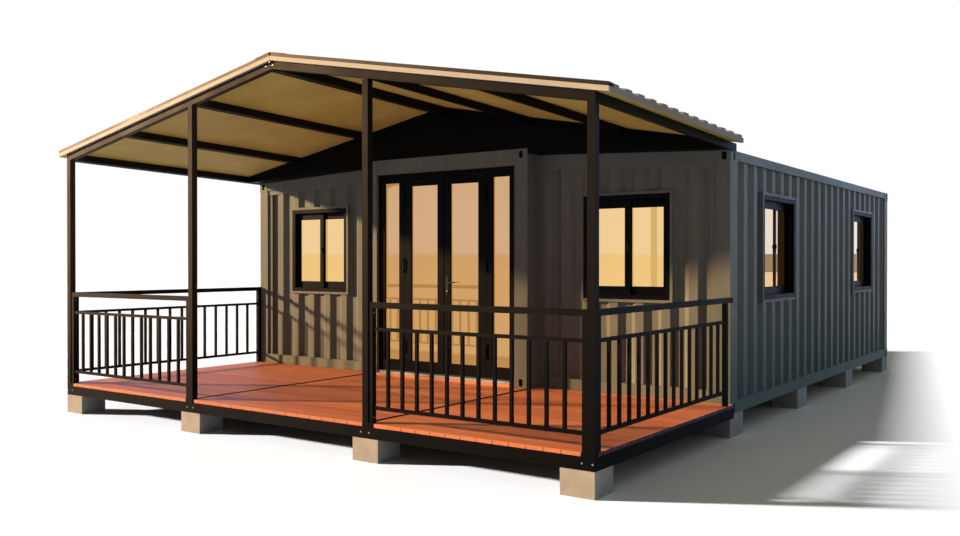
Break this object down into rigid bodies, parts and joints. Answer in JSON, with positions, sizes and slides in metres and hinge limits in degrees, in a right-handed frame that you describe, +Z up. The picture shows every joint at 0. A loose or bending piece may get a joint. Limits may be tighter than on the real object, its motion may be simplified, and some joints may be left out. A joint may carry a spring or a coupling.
{
  "type": "expandable container cabin with a covered porch",
  "caption": "Corrugated steel cabin on block piers: a central module with two lower wings, glazed double door, sliding windows and a covered, railed timber porch.",
  "frame": {"origin": "on the ground, at the middle of the whole building's width and length", "axes": "+X to the right along the front, +Y from the porch back into the house, +Z up"},
  "size_m": [6.81, 9.734, 3.5386],
  "materials": {
    "charcoal_steel": "satin anthracite paint on corrugated and folded steel",
    "black_steel": "satin black powder coat",
    "window_black": "satin black powder coated aluminium",
    "deck_boards": "terracotta stained boards",
    "concrete": "cast concrete block",
    "roof_sheet": "dark grey-brown coated steel sheet",
    "roof_lining": "beige coated panel face",
    "cream_trim": "cream coated edge",
    "clear_glass": "clear double glazing with a warm glow behind it",
    "threshold": "mill finish",
    "handle_steel": "brushed",
    "floor": "laminate floor on a steel deck"
  },
  "bodies": {
    "cabin": {"deck_piers": "concrete", "deck_beams": "black_steel", "deck_joists": "black_steel", "deck_boards": "deck_boards", "porch_posts": "black_steel", "railing_front_right": "black_steel", "railing_front_left": "black_steel", "railing_side_right": "black_steel", "railing_side_left": "black_steel", "rafters": "black_steel", "ridge_beam": "black_steel", "purlins": "black_steel", "roof_panels": "roof_lining", "roof_edge_trim": "cream_trim", "roof_sheets": "roof_sheet", "ridge_cap": "roof_sheet", "gable_infill": "black_steel", "house_piers": "concrete", "base_rails": "charcoal_steel", "house_floor": "floor", "wing_corner_posts": "charcoal_steel", "module_posts": "charcoal_steel", "module_heads": "charcoal_steel", "top_rails": "charcoal_steel", "front_walls": "charcoal_steel", "rear_walls": "charcoal_steel", "rear_centre_wall": "charcoal_steel", "side_wall_right": "charcoal_steel", "side_wall_left": "charcoal_steel", "module_roof": "charcoal_steel", "wing_roofs": "charcoal_steel", "window_trims": "charcoal_steel", "front_window_frames": "window_black", "rear_window_frames": "window_black", "side_window_frames": "window_black", "window_glass": "clear_glass", "door_sidelights": "window_black", "sidelight_glass": "clear_glass", "door_head": "window_black", "door_threshold": "threshold"},
    "left_leaf": {"door_leaf_left": "window_black", "door_glass_left": "clear_glass"},
    "right_leaf": {"door_leaf_right": "window_black", "door_glass_right": "clear_glass"},
    "lever": {"door_handle": "handle_steel"}
  },
  "joints": [
    {"name": "left_leaf_hinge", "type": "hinge", "parent": "cabin", "child": "left_leaf", "pos_m": [-0.581, -2.295, 1.5], "axis": [0, 0, -1], "range_deg": [0, 100]},
    {"name": "right_leaf_hinge", "type": "hinge", "parent": "cabin", "child": "right_leaf", "pos_m": [0.581, -2.295, 1.5], "axis": [0, 0, 1], "range_deg": [0, 100]},
    {"name": "lever_turn", "type": "hinge", "parent": "right_leaf", "child": "lever", "pos_m": [0.048, -2.263, 1.427], "axis": [0, 1, 0], "range_deg": [0, 40], "stiffness_Nm_per_rad": 1.5, "springref_deg": -28.65}
  ]
}
